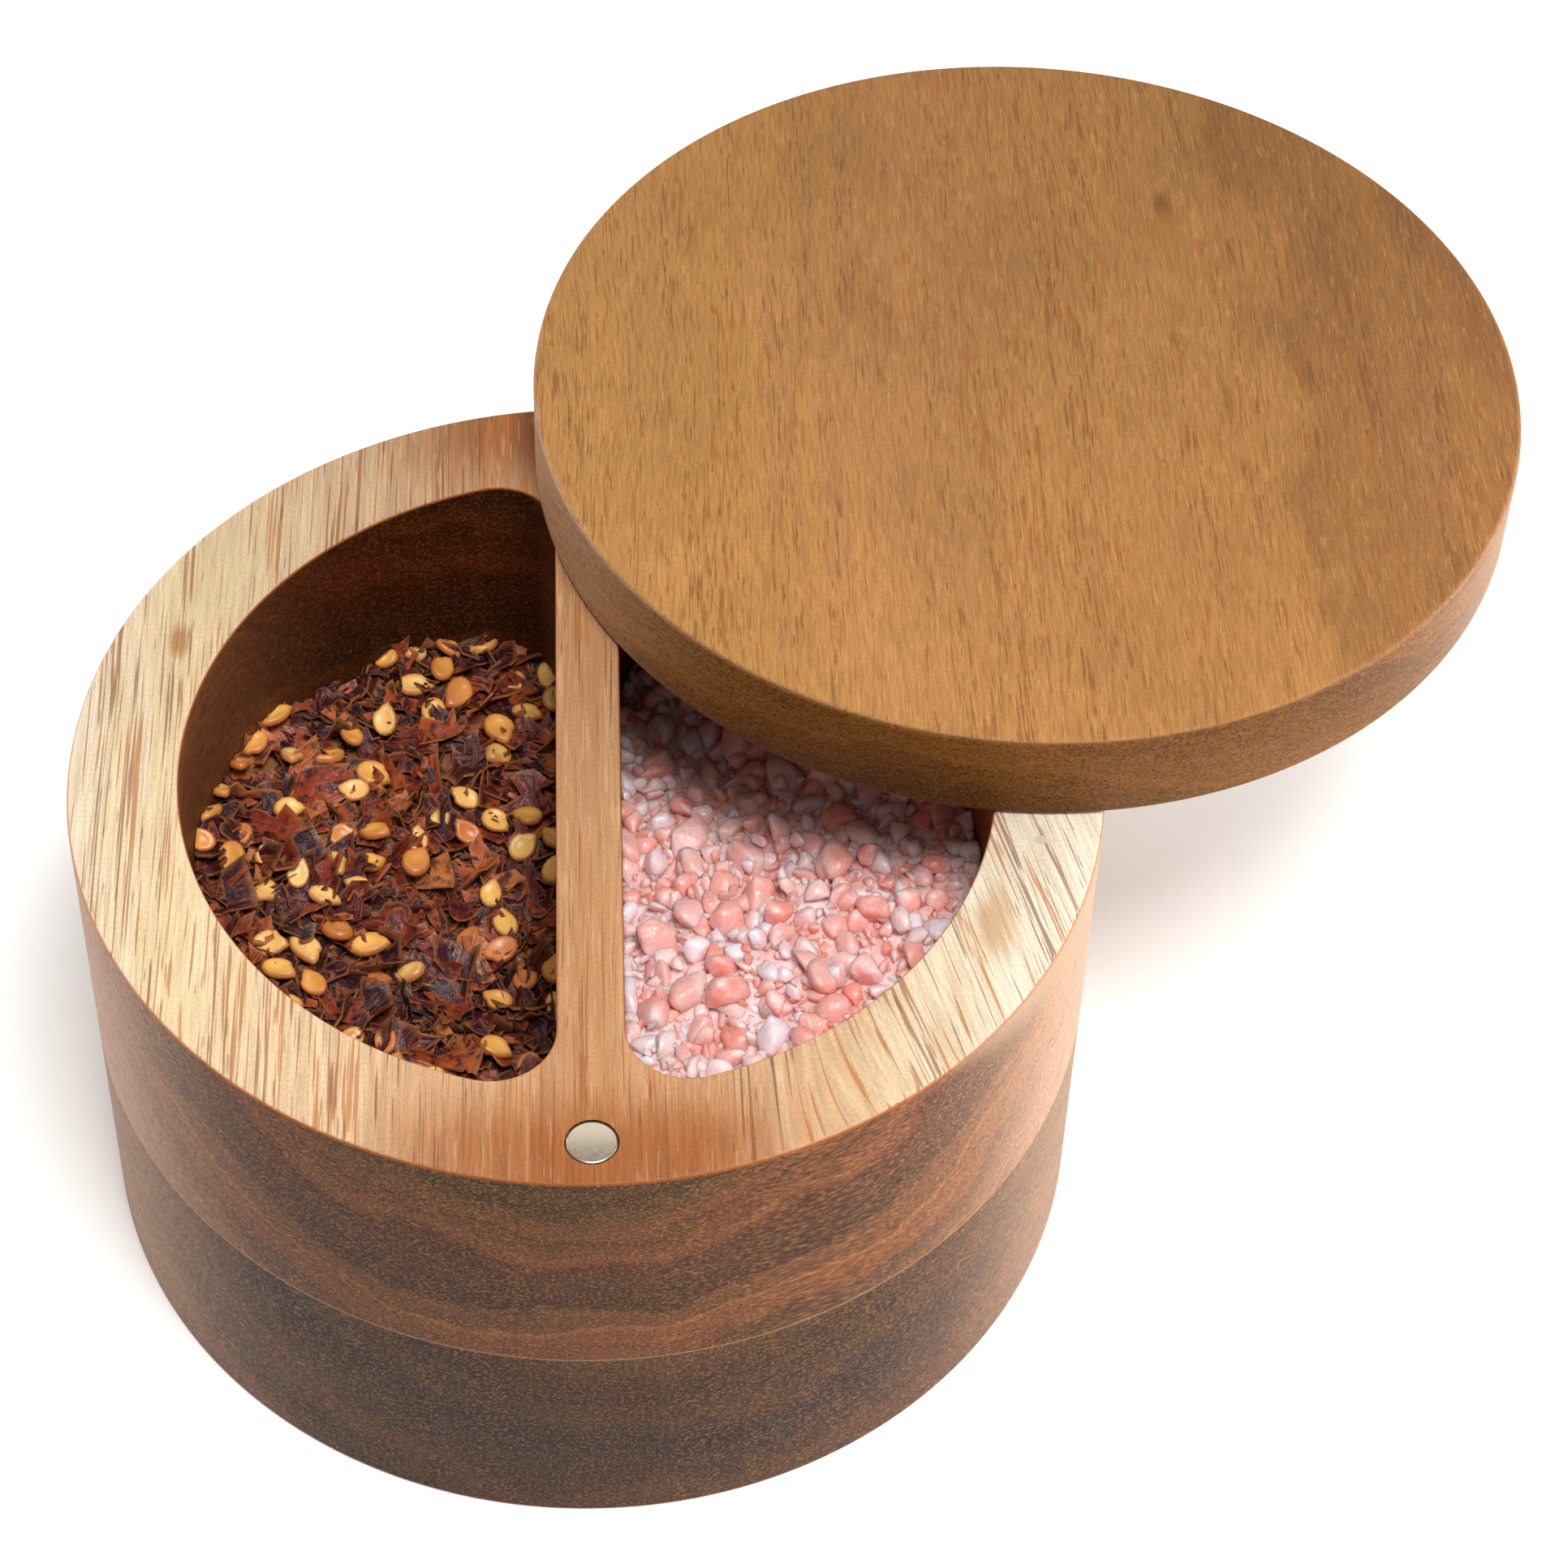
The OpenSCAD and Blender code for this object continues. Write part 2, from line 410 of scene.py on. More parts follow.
    # Painted shade: the wells' walls are darker and warmer
    squares = [addNode(tree, "Math", [axis, 2], operation="POWER") for axis in (x, y)]
    fromAxis = addNode(tree, "Math", squares, operation="ADD")
    fromAxis = addNode(tree, "Math", [fromAxis], operation="SQRT")
    wellWall = well["radius"] / mm
    edge = wellWall + 0.6
    inWell = addNode(tree, "MapRange", [fromAxis, edge, edge + 0.6, look["wellPaintedShade"], 0], **eased)
    side = addNode(tree, "Mix", [inWell, side, look["wellShadeColor"]], blend_type="MULTIPLY", **mixed)
    # Sapwood wraps over the edge at the right
    sap = addNode(tree, "Math", [x, -look["sapSlope"], look["sapHeight"]], operation="MULTIPLY_ADD")
    sap = addNode(tree, "Math", [z, sap], operation="SUBTRACT")
    sap = kept(addNode(tree, "MapRange", [sap, -4, 3, 0, 0.85], **eased), inWell, 0, 0.01, 1, 0)
    side = addNode(tree, "Mix", [sap, side, look["sapColor"]], **mixed)
    # Squeezed-out glue shows as a thin pale line between the boards
    fromGlue = addNode(tree, "Math", [z, tub["glueLine"] / mm], operation="SUBTRACT")
    fromGlue = addNode(tree, "Math", [fromGlue], operation="ABSOLUTE")
    side = stained(side, look["glueColor"], fromGlue, 0.06, 0.22, look["glue"], 0)
    specks = kept(dots(grain, look["speck"], 0.3, 0.12, 21.7), inWell, 0, 0.01, look["speckStrength"], 0.1)
    side = addNode(tree, "Mix", [specks, side, look["speckColor"]], **mixed)

    # The eased edge turns a deeper orange; pores and pinholes are on every face
    wood = addNode(tree, "Mix", [flat, side, face], **mixed)
    edge = kept(addNode(tree, "MapRange", [upright, 0.1, 0.4], **eased), upright, 0.8, 0.97, 1, 0)
    edge = addNode(tree, "Math", [edge, look["edgeStrength"]], operation="MULTIPLY")
    wood = addNode(tree, "Mix", [edge, wood, look["edgeColor"]], **mixed)
    poreSize = addNode(tree, "MapRange", [gather, 0.35, 0.62, look["poreSmall"], look["poreLarge"]], **eased)
    pores = dots(grain, look["pore"], poreSize, 0.05, 1.9)
    poreColor = addNode(tree, "Mix", [acrossGrain, look["poreColor"], look["pinholeColor"]], **mixed)
    poreMask = kept(pores, acrossGrain, 0, 1, look["poreStrength"], 0.25)
    wood = addNode(tree, "Mix", [poreMask, wood, poreColor], **mixed)
    pinholes = dots(grain, look["pinhole"], 0.09, 0.03, 4.4)
    pinholes = addNode(tree, "Math", [pinholes, acrossGrain], operation="MULTIPLY")
    pinholes = addNode(tree, "Math", [pinholes, 0.8], operation="MULTIPLY")
    wood = addNode(tree, "Mix", [pinholes, wood, look["pinholeColor"]], **mixed)

    # Lines and fibres are rougher and lie lower than the polished wood between them
    rough = addNode(tree, "Math", [fibres, 0.25, look["rough"] - 0.12], operation="MULTIPLY_ADD")
    rough = addNode(tree, "Math", [lines, 0.12, rough], operation="MULTIPLY_ADD")
    height = addNode(tree, "Math", [fibres, 0.6], operation="MULTIPLY")
    for pattern, amount in ((lines, -0.5), (pores, -1.0), (speckle, 0.25)):
        height = addNode(tree, "Math", [pattern, amount, height], operation="MULTIPLY_ADD")
    bump = addNode(tree, "Bump", {"Height": height, "Strength": 0.6, "Distance": 0.07 * mm})
    feed(tree, shader, {"Base Color": wood, "Roughness": rough, "Normal": bump})
    return material


# Sizes are in mm along x, y and z; knots give their place, size and colour
topWood = {
    "seed": 3.7, "middle": 0, "boardWide": 128, "rough": 0.5, "sheen": 0.15,
    "wander": 4.0, "wanderSize": (40, 150, 40), "lean": 0.25, "leanFrom": 14, "leanTo": 44,
    "fibre": (0.36, 12, 0.36), "fibreDepth": 0.17, "streak": (2.6, 120, 2.6), "streakShift": 0.3,
    "cloud": (18, 30, 12), "cloudDepth": 0.04, "gather": (3.5, 55, 3.5), "gatherDepth": 0.42,
    "speckle": (0.3, 0.45, 0.3), "frontPaintedLight": 0.8, "backPaintedLight": 0.6, "rimEndShade": 0.95, "rimEndShadeColor": "#cfa682",
    "pith": (-5, 110), "arch": 0.03, "ringDrift": 15.0, "row": 0.7,
    "band": 4.0, "bandDepth": 0.26, "bandShift": 0.1,
    "face": [(0.0, "#ecd8bc"), (0.1, "#ecd0a4"), (0.22, "#e2c29c"), (0.36, "#cfa57c"), (0.5, "#bf8b5e"),
             (0.64, "#cc9f74"), (0.76, "#dfc29e"), (0.88, "#eadabf"), (1.0, "#efe2ce")],
    "knots": [(-51.1, 21.4, 1.1, "#9a6234"), (48.1, -26.4, 2.2, "#b0885c")], "knotShape": (1, 0.42, 0),
    "line": (0.33, 26, 0.33), "lineFrom": 0.56, "lineTo": 0.65, "lineStrength": 0.72,
    "lineWarm": "#a8662c", "lineDark": "#704026",
    "paleDash": (0.45, 7, 0.45), "paleStrength": 0.12, "palest": "#f0d8b4",
    "ringFrom": 40, "ringTo": 84,
    "side": [(0.0, "#45321c"), (0.12, "#523820"), (0.2, "#6d4226"), (0.38, "#633822"), (0.5, "#472d1d"),
             (0.62, "#523320"), (0.74, "#784928"), (0.82, "#6d3e24"), (0.9, "#523420"), (1.0, "#6e4428")],
    "leftPaintedShade": 0.72, "rightPaintedShade": 1.0, "longPaleAndSheen": 0.66, "longPaleSheenColor": "#c4a088",
    "wellPaintedShade": 0.85, "wellShadeColor": "#b87834", "sapHeight": 91.0, "sapSlope": 0.5, "sapColor": "#a0866c",
    "glue": 0.5, "glueColor": "#a8845c", "dash": (0.42, 2.0, 0.23), "dashStrength": 0.45,
    "speck": (0.62, 5, 0.62), "speckStrength": 0.2, "speckColor": "#b27a44",
    "edgeStrength": 0.6, "edgeColor": "#a05420", "pinhole": (1.7, 9, 1.7), "pinholeColor": "#20140e",
    "pore": (0.8, 8, 0.8), "poreSmall": 0.03, "poreLarge": 0.2, "poreColor": "#5f3828", "poreStrength": 0.42,
}
baseWood = dict(topWood, **{
    "seed": 11.3, "pith": (12, 95), "band": 8.0, "lean": 0.0, "ringFrom": 58, "ringTo": 110,
    "side": [(0.0, "#482f1d"), (0.14, "#4a2f1d"), (0.24, "#3a2518"), (0.32, "#452c1b"), (0.46, "#2f211d"),
             (0.56, "#3a261b"), (0.7, "#4e2f1d"), (0.85, "#40291b"), (1.0, "#593723")],
    "sapHeight": 200.0, "sapSlope": 0.0, "longPaleAndSheen": 0.55, "longPaleSheenColor": "#a8846a",
})
lidWood = dict(topWood, **{
    "seed": 21.9, "middle": 58, "wander": 5.0, "lean": 0.0,
    "fibre": (0.34, 5, 0.34), "fibreDepth": 0.2, "streak": (3, 60, 3), "streakShift": 0.5,
    "cloud": (20, 32, 20), "cloudDepth": 0.1, "frontPaintedLight": 1.16, "backPaintedLight": 0.78, "rimEndShade": 0.0,
    "pith": (40, -60), "arch": 0.3, "band": 9.0, "bandShift": 0.8,
    "face": [(0.0, "#aa7a44"), (0.2, "#a67640"), (0.35, "#a07042"), (0.5, "#9c6e3e"), (0.65, "#986a3a"),
             (0.8, "#8e6236"), (1.0, "#885c36")],
    "knots": [(78.3, 87.5, 1.2, "#5e3818"), (78.6, 82.9, 1.9, "#8c5f32")],
    "line": (0.34, 6, 0.34), "lineFrom": 0.58, "lineTo": 0.68, "lineStrength": 0.55,
    "lineWarm": "#8a521e", "lineDark": "#6a3c1c",
    "paleDash": (0.34, 3.0, 0.34), "paleStrength": 0.13, "palest": "#dca868",
    "ringFrom": 60, "ringTo": 120,
    "side": [(0.0, "#54300e"), (0.3, "#663a14"), (0.6, "#4a280a"), (1.0, "#643e16")],
    "leftPaintedShade": 1.0, "rightPaintedShade": 1.0, "longPaleAndSheen": 0.42, "longPaleSheenColor": "#b08c6e", "wellPaintedShade": 0.0,
    "sapHeight": 400.0, "sapSlope": 0.0, "glue": 0.0, "speckStrength": 0.3, "speckColor": "#945c2c",
    "edgeStrength": 0.3, "edgeColor": "#7a4a24",
    "pore": (0.7, 5, 0.7), "poreSmall": 0.02, "poreLarge": 0.17, "poreColor": "#6a3f22", "poreStrength": 0.6,
})

topMaterial = woodMaterial("oiled acacia, rim", topWood)  # light tan face with dark pore dashes
baseMaterial = woodMaterial("oiled acacia, heartwood", baseWood)  # grey brown, dotted across the grain
lidMaterial = woodMaterial("oiled acacia, lid", lidWood)  # caramel with a fine short grain

tubRows = roundedRows(tub["radius"], tub["glueLine"], tub["rim"], 0, tub["edge"])
topHoles = wellHoles(tub["rim"], tub["glueLine"], well["mouthEdge"])
topHoles.append(roundHole(pin["radius"], tub["rim"], tub["rim"] - pin["depth"], (0, pivot.y)))
topHoles.append(roundHole(magnet["radius"] + magnet["gap"], tub["rim"], tub["rim"] - magnet["thick"],
                          (0, -pivot.y)))
rimPinPlace = (rimPin["pitch"] * math.cos(rimPin["angle"]), rimPin["pitch"] * math.sin(rimPin["angle"]))
topHoles.append(roundHole(rimPin["radius"], tub["rim"], tub["rim"] - rimPin["depth"], rimPinPlace))
topMesh = boardMesh("top_board", tubRows, tub["turns"], topHoles)
addPiece("top_board", topMesh, [topMaterial], "tub", ["tub_top_board"])
baseMesh = boardMesh("base_board", roundedRows(tub["radius"], 0, tub["glueLine"], tub["edge"], 0),
                     tub["turns"], wellHoles(tub["glueLine"], tub["floor"], 0))
addPiece("base_board", baseMesh, [baseMaterial], "tub", ["tub_base_board"])

lidHoles = [roundHole(pin["sleeveRadius"], lid["under"], lid["under"] + pin["sleeveDepth"], (0, pivot.y)),
            roundHole(magnet["radius"] + magnet["gap"], lid["under"], lid["under"] + magnet["thick"],
                      (0, -pivot.y))]
lidRows = roundedRows(lid["radius"], lid["under"], lid["top"], lid["edge"], lid["edge"])
lidMesh = boardMesh("lid_board", lidRows, lid["turns"], lidHoles)
lidMesh.transform(toOpen)
addPiece("lid_board", lidMesh, [lidMaterial], "lid", ["lid"])
print("boards made")


# Metals, clean and lightly worn: tiny specks move the colour and the gloss
def metalMaterial(name, look):
    material, tree, shader = newMaterial(name, {"Metallic": 1.0})
    place = addNode(tree, "TexCoord")
    specks = addNode(tree, "TexNoise", {"Vector": place.outputs["Object"], "Scale": 1 / look["grit"],
                                        "Detail": 3.0})
    paler = addNode(tree, "Math", [specks, 0.4], operation="MULTIPLY")
    tone = addNode(tree, "Mix", [paler, look["color"], "#f2ece2"], **mixed)
    worn = addNode(tree, "MapRange", [specks, 0.3, 0.7, look["rough"] - 0.03, look["rough"] + 0.04])
    bump = addNode(tree, "Bump", {"Height": specks, "Strength": 0.08, "Distance": 0.01 * mm})
    feed(tree, shader, {"Base Color": tone, "Roughness": worn, "Normal": bump})
    return material


# Nickel is warm and bright, steel grey and even, zinc dull and pale, and brass yellow
nickel = metalMaterial("nickel plating, satin", {"color": "#cdb99f", "rough": 0.3, "grit": 0.4 * mm})
steel = metalMaterial("turned steel", {"color": "#a8a8a8", "rough": 0.35, "grit": 0.3 * mm})
zinc = metalMaterial("zinc-coated steel, dull", {"color": "#e2d6c6", "rough": 0.7, "grit": 0.3 * mm})
brass = metalMaterial("drawn brass", {"color": "#c9a05a", "rough": 0.3, "grit": 0.3 * mm})


def discMesh(name, low):
    rows = roundedRows(magnet["radius"], low, low + magnet["thick"], magnet["edge"], magnet["edge"])
    mesh = boardMesh(name, rows, magnet["turns"], [])
    mesh.transform(Matrix.Translation((0, -pivot.y, 0)))
    return mesh


rimDisc = discMesh("rim_magnet", tub["rim"] - magnet["thick"])
addPiece("rim_magnet", rimDisc, [nickel], "tub", ["tub_magnet"])
lidDisc = discMesh("lid_disc", lid["under"])
lidDisc.transform(toOpen)
addPiece("lid_disc", lidDisc, [nickel], "lid", ["lid_magnet"])
for node, metal in (("pivot_pin", steel), ("rim_pin", zinc), ("lid_sleeve", brass)):
    nodeMesh = frame["nodes"][node].data
    nodeMesh.materials.clear()
    nodeMesh.materials.append(metal)
print("metal parts made")


# What lies in the wells
filling = {
    "inset": 0.15 * mm,
    "middle": 24 * mm,
    "atDivider": 38 * mm,
    "atRound": 50 * mm,
    "rings": 26,
}


def heapHeight(x, y, heap):
    # The frame's fill slopes up from the divider; the heap's bumps stay under it
    out = (abs(x) - well["halfDivider"]) / (well["radius"] - well["halfDivider"])
    plane = filling["atDivider"] + (filling["atRound"] - filling["atDivider"]) * out
    bumps = noise.fractal(Vector((x, y, heap["seed"])) / heap["bumpSize"], 0.8, 2.0, 3)
    return plane - heap["below"] + heap["bump"] * bumps


def bedMesh(name, heap, closed):
    # The heap's top in rings that shrink towards its middle, closed below down to the floor where asked
    side = heap["side"]
    outline = wellPoints(filling["inset"], side)
    middle = Vector((side * filling["middle"], 0))
    bm = bmesh.new()
    loops = []
    for k in range(filling["rings"]):
        share = 1 - k / filling["rings"]
        flat = [middle + (Vector(p) - middle) * share for p in outline]
        loops.append([bm.verts.new((p.x, p.y, heapHeight(p.x, p.y, heap))) for p in flat])
    crest = bm.verts.new((middle.x, middle.y, heapHeight(middle.x, middle.y, heap)))
    for outer, inner in zip(loops, loops[1:]):
        joinLoops(bm, outer, inner)
    for i, vertex in enumerate(loops[-1]):
        bm.faces.new((vertex, loops[-1][(i + 1) % len(outline)], crest)).smooth = True
    if closed:
        foot = [bm.verts.new((v.co.x, v.co.y, tub["floor"])) for v in loops[0]]
        joinLoops(bm, foot, loops[0], smooth=False)
        bm.faces.new(list(reversed(foot)))
    return meshFrom(bm, name)


def keepInside(mesh, side):
    # Whatever would stand in a wall is pushed back into the well
    gap = filling["inset"]
    corner, radius, least = well["corner"], well["radius"] - gap, well["halfDivider"] + gap
    for vertex in mesh.vertices:
        x, y = max(vertex.co.x * side, least), vertex.co.y
        out = math.hypot(x, y)
        if out > radius:
            x, y = x * radius / out, y * radius / out
        fromX, fromY = x - cornerX, abs(y) - cornerY
        out = math.hypot(fromX, fromY)
        if fromX < 0 and fromY > 0 and out > corner - gap:
            x = cornerX + fromX * (corner - gap) / out
            y = math.copysign(cornerY + fromY * (corner - gap) / out, y)
        vertex.co.x, vertex.co.y = x * side, y


# Shapes that the heaps repeat, a few dozen faces each. UV: 0 to 1 outside, 2 to 3 on a flake's inner side.
# Lengths are in mm, as the least and most of a random draw, and a crystal is 1 mm across
flakeShape = {
    "columns": 6, "rows": 5, "long": (5.0, 7.5), "wide": (2.6, 5.0), "curl": (0.3, 2.0), "twist": (-0.8, 0.8),
    "cup": (-0.6, 1.2), "thick": (0.16, 0.3), "taper": (0.25, 1.0), "lean": (-0.25, 0.25), "ragged": 0.35,
}
seedShape = {
    "around": 14, "long": (1.75, 2.2), "thick": (0.4, 0.6), "wide": (0.68, 0.85), "centre": 0.3,
    "rings": [(1.0, 0.0), (0.93, 0.75), (0.76, 1.0), (0.5, 0.45)],
}
crystalShape = {"block": (0.7, 1.25), "deep": (0.86, 1.0), "square": 4, "worn": 0.16}


def flakeMesh(name, draw):
    # A torn curl of skin: a small grid, bent across and along, with its inner side just below
    columns, rows = flakeShape["columns"], flakeShape["rows"]
    long, wide, curl, twist, cup, thick = (draw.uniform(*flakeShape[part])
                                           for part in ("long", "wide", "curl", "twist", "cup", "thick"))
    long, wide, thick = long * mm, wide * mm, thick * mm
    taper = [draw.uniform(*flakeShape["taper"]) for i in range(columns)]
    taper[columns // 2] = 1.0
    lean = [draw.uniform(*flakeShape["lean"]) for i in range(columns)]
    bm = bmesh.new()
    uv = bm.loops.layers.uv.new("UVMap")
    sheets = []
    for level in (0, 1):
        sheet = []
        for i in range(columns):
            for j in range(rows):
                u, v = i / (columns - 1), j / (rows - 1)
                edge = 1 if i in (0, columns - 1) or j in (0, rows - 1) else 0.3
                tear = random.Random(f"{name}{i}{j}")  # the same on both sides of the flake
                jitter = [tear.uniform(-1, 1) * flakeShape["ragged"] * edge for k in range(3)]
                x = (u - 0.5 + jitter[0] * 0.25) * long
                across = (v - 0.5 + lean[i] + jitter[1] * 0.2) * taper[i]
                y = across * wide
                bend = across * curl
                z = (1 - math.cos(bend * 2)) * wide / 3 + cup * (u - 0.5) ** 2 * long * 0.4
                z += twist * (u - 0.5) * across * wide + jitter[2] * 0.9 * mm
                sheet.append((bm.verts.new((x, y * math.cos(bend * 0.6), z - level * thick)), (u, v)))
        sheets.append(sheet)
    for level, sheet in enumerate(sheets):
        for i in range(columns - 1):
            for j in range(rows - 1):
                ids = [i * rows + j, (i + 1) * rows + j, (i + 1) * rows + j + 1, i * rows + j + 1]
                ids = ids[::-1] if level else ids
                face = bm.faces.new([sheet[k][0] for k in ids])
                for loop, k in zip(face.loops, ids):
                    loop[uv].uv = (sheet[k][1][0] + 2 * level, sheet[k][1][1])
    border = [i * rows for i in range(columns)] + [(columns - 1) * rows + j for j in range(1, rows)]
    border += [i * rows + rows - 1 for i in reversed(range(columns - 1))]
    border += list(reversed(range(1, rows - 1)))
    for a, b in zip(border, border[1:] + border[:1]):
        bm.faces.new((sheets[1][a][0], sheets[1][b][0], sheets[0][b][0], sheets[0][a][0]))
    for face in bm.faces:
        face.smooth = True
    return meshFrom(bm, name, 45)


def seedMesh(name, draw):
    # A flat kidney with a thicker rim and a small point where it was held
    count, rings = seedShape["around"], seedShape["rings"]
    long, thick = draw.uniform(*seedShape["long"]) * mm, draw.uniform(*seedShape["thick"]) * mm
    wide = long * draw.uniform(*seedShape["wide"])
    bm = bmesh.new()
    uv = bm.loops.layers.uv.new("UVMap")

    def ringAt(share, height):
        loop = []
        for i in range(count):
            a = 2 * math.pi * i / count
            notch = 1 - 0.2 * math.exp(-((a - 3.5) / 0.4) ** 2) + 0.22 * math.exp(-((a - 2.75) / 0.35) ** 2)
            loop.append(bm.verts.new((long * share * notch * math.cos(a), wide * share * notch * math.sin(a),
                                      height * thick)))
        return loop
    rim = ringAt(*rings[0])
    for up in (1, -1):
        loops = [rim] + [ringAt(share, up * height) for share, height in rings[1:]]
        centre = bm.verts.new((0, 0, up * seedShape["centre"] * thick))
        for k, (outer, inner) in enumerate(zip(loops, loops[1:])):
            for i in range(count):
                j = (i + 1) % count
                corners = [outer[i], outer[j], inner[j], inner[i]]
                face = bm.faces.new(corners[::up])
                shares = [rings[k][0], rings[k][0], rings[k + 1][0], rings[k + 1][0]][::up]
                for loop, share in zip(face.loops, shares):
                    loop[uv].uv = (share, 0.5)
        for i in range(count):
            face = bm.faces.new([loops[-1][i], loops[-1][(i + 1) % count], centre][::up])
            for loop in face.loops:
                loop[uv].uv = (0.0 if loop.vert == centre else rings[-1][0], 0.5)
    for face in bm.faces:
        face.smooth = True
    return meshFrom(bm, name)


def crystalMesh(name, draw, corners, cuts, rounding):
    # A broken lump: the hull of points on a rounded block, worn round. UV X is 1 at its corners
    bm = bmesh.new()
    block = [draw.uniform(*crystalShape["block"]) for k in range(3)]
    power = crystalShape["square"]
    for i in range(corners):
        point = Vector([draw.gauss(0, 1) for k in range(3)]).normalized()
        point /= sum(abs(v) ** power for v in point) ** (1 / power)
        point = Vector([v * size for v, size in zip(point, block)])
        bm.verts.new(point * draw.uniform(*crystalShape["deep"]) * 0.5 * mm)
    bmesh.ops.convex_hull(bm, input=bm.verts[:])
    loose = [v for v in bm.verts if not v.link_faces]
    bmesh.ops.delete(bm, geom=loose, context="VERTS")
    bmesh.ops.subdivide_edges(bm, edges=bm.edges[:], cuts=cuts, use_grid_fill=True)
    for step in range(rounding):
        bmesh.ops.smooth_vert(bm, verts=bm.verts[:], factor=0.5, use_axis_x=True, use_axis_y=True,
                              use_axis_z=True)
    size = max(v.co.length for v in bm.verts)
    shift = Vector((corners, draw.uniform(0, 9), 0))
    for vertex in bm.verts:
        vertex.co *= 0.5 * mm / size
        vertex.co += vertex.co * crystalShape["worn"] * noise.noise(vertex.co / mm * 3 + shift)
    bmesh.ops.recalc_face_normals(bm, faces=bm.faces[:])
    uv = bm.loops.layers.uv.new("UVMap")
    for face in bm.faces:
        face.smooth = True
        for loop in face.loops:
            loop[uv].uv = (min(1, loop.vert.co.length / (0.5 * mm)), 0.5)
    return meshFrom(bm, name, 55)


def shapeCollection(name, count, make):
    # Unlinked objects that a node tree picks from
    collection = bpy.data.collections.new(name)
    for i in range(count):
        collection.objects.link(bpy.data.objects.new(f"{name}{i}", make(f"{name}{i}")))
    return collection


def scatterTree():
    # Drops turned, sized and tinted copies of a collection's shapes on a surface
    tree = bpy.data.node_groups.new("scatter", "GeometryNodeTree")
    sockets = {"Geometry": "Geometry", "Spacing": "Float", "Smallest": "Float", "Largest": "Float",
               "Tilt": "Float", "Lift": "Float", "Spread": "Float", "Seed": "Int", "Sparse": "Float",
               "Shapes": "Collection", "Finish": "Material"}
    for name, kind in sockets.items():
        tree.interface.new_socket(name, in_out="INPUT", socket_type=f"NodeSocket{kind}")
    tree.interface.new_socket("Geometry", in_out="OUTPUT", socket_type="NodeSocketGeometry")
    given = tree.nodes.new("NodeGroupInput").outputs
    seeds = [addNode(tree, "Math", [given["Seed"], float(k)], operation="ADD") for k in range(1, 6)]
    # Patches about 9 mm across hold fewer copies, down to the share that Sparse gives
    patch = addNode(tree, "TexNoise", {"Scale": 110.0, "Detail": 1.0})
    share = addNode(tree, "MapRange", [patch, 0.44, 0.54, given["Sparse"], 1.0])
    points = addNode(tree, "GeometryNodeDistributePointsOnFaces",
                     {"Mesh": given["Geometry"], "Distance Min": given["Spacing"], "Density Max": 4e6,
                      "Density Factor": share, "Seed": given["Seed"]}, distribute_method="POISSON")
    down = addNode(tree, "Math", [given["Spread"], -1.0], operation="MULTIPLY")
    rise = addNode(tree, "FunctionNodeRandomValue", {"Min": down, "Max": given["Spread"], "Seed": seeds[0]})
    height = addNode(tree, "Math", [given["Lift"], rise], operation="ADD")
    offset = addNode(tree, "CombineXYZ", {"Z": height})
    raised = addNode(tree, "GeometryNodeSetPosition", {"Geometry": points, "Offset": offset})
    back = addNode(tree, "Math", [given["Tilt"], -1.0], operation="MULTIPLY")
    low = addNode(tree, "CombineXYZ", [back, back, 0.0])
    high = addNode(tree, "CombineXYZ", [given["Tilt"], given["Tilt"], 2 * math.pi])
    turn = addNode(tree, "FunctionNodeRandomValue", {"Min": low, "Max": high, "Seed": seeds[1]},
                   data_type="FLOAT_VECTOR")
    # Small copies are more common than large ones
    chance = addNode(tree, "FunctionNodeRandomValue", {"Min": 0.0, "Max": 1.0, "Seed": seeds[2]})
    chance = addNode(tree, "Math", [chance, 1.7], operation="POWER")
    size = addNode(tree, "MapRange", [chance, 0.0, 1.0, given["Smallest"], given["Largest"]])
    shapes = addNode(tree, "GeometryNodeCollectionInfo",
                     {"Collection": given["Shapes"], "Separate Children": True})
    pick = addNode(tree, "FunctionNodeRandomValue", {"Min": 0, "Max": 1000, "Seed": seeds[3]},
                   data_type="INT")
    copies = addNode(tree, "GeometryNodeInstanceOnPoints",
                     {"Points": raised, "Instance": shapes, "Pick Instance": True, "Instance Index": pick,
                      "Rotation": turn, "Scale": size})
    tint = addNode(tree, "FunctionNodeRandomValue", {"Min": 0.0, "Max": 1.0, "Seed": seeds[4]})
    stored = {"Geometry": copies, "Name": "tint", "Value": tint}
    tinted = addNode(tree, "GeometryNodeStoreNamedAttribute", stored, domain="INSTANCE", data_type="FLOAT")
    solid = addNode(tree, "GeometryNodeRealizeInstances", {"Geometry": tinted})
    finished = addNode(tree, "GeometryNodeSetMaterial", {"Geometry": solid, "Material": given["Finish"]})
    addNode(tree, "NodeGroupOutput", {"Geometry": finished})
    return tree


scatter = scatterTree()


def scatteredMesh(name, heap, layer, shapes, material):
    # One layer of a heap as a plain mesh
    host = bpy.data.objects.new(name + "Host", bedMesh(name + "Bed", heap, False))
    bpy.context.scene.collection.objects.link(host)
    modifier = host.modifiers.new("scatter", "NODES")
    modifier.node_group = scatter
    ids = {item.name: item.identifier for item in scatter.interface.items_tree if item.in_out == "INPUT"}
    for socket, value in dict(layer, Shapes=shapes, Finish=material).items():
        modifier[ids[socket]] = value
    evaluated = host.evaluated_get(bpy.context.evaluated_depsgraph_get())
    mesh = bpy.data.meshes.new_from_object(evaluated)
    mesh.name = name
    host.modifiers.remove(modifier)
    bpy.data.objects.remove(host)
    keepInside(mesh, heap["side"])
    return mesh


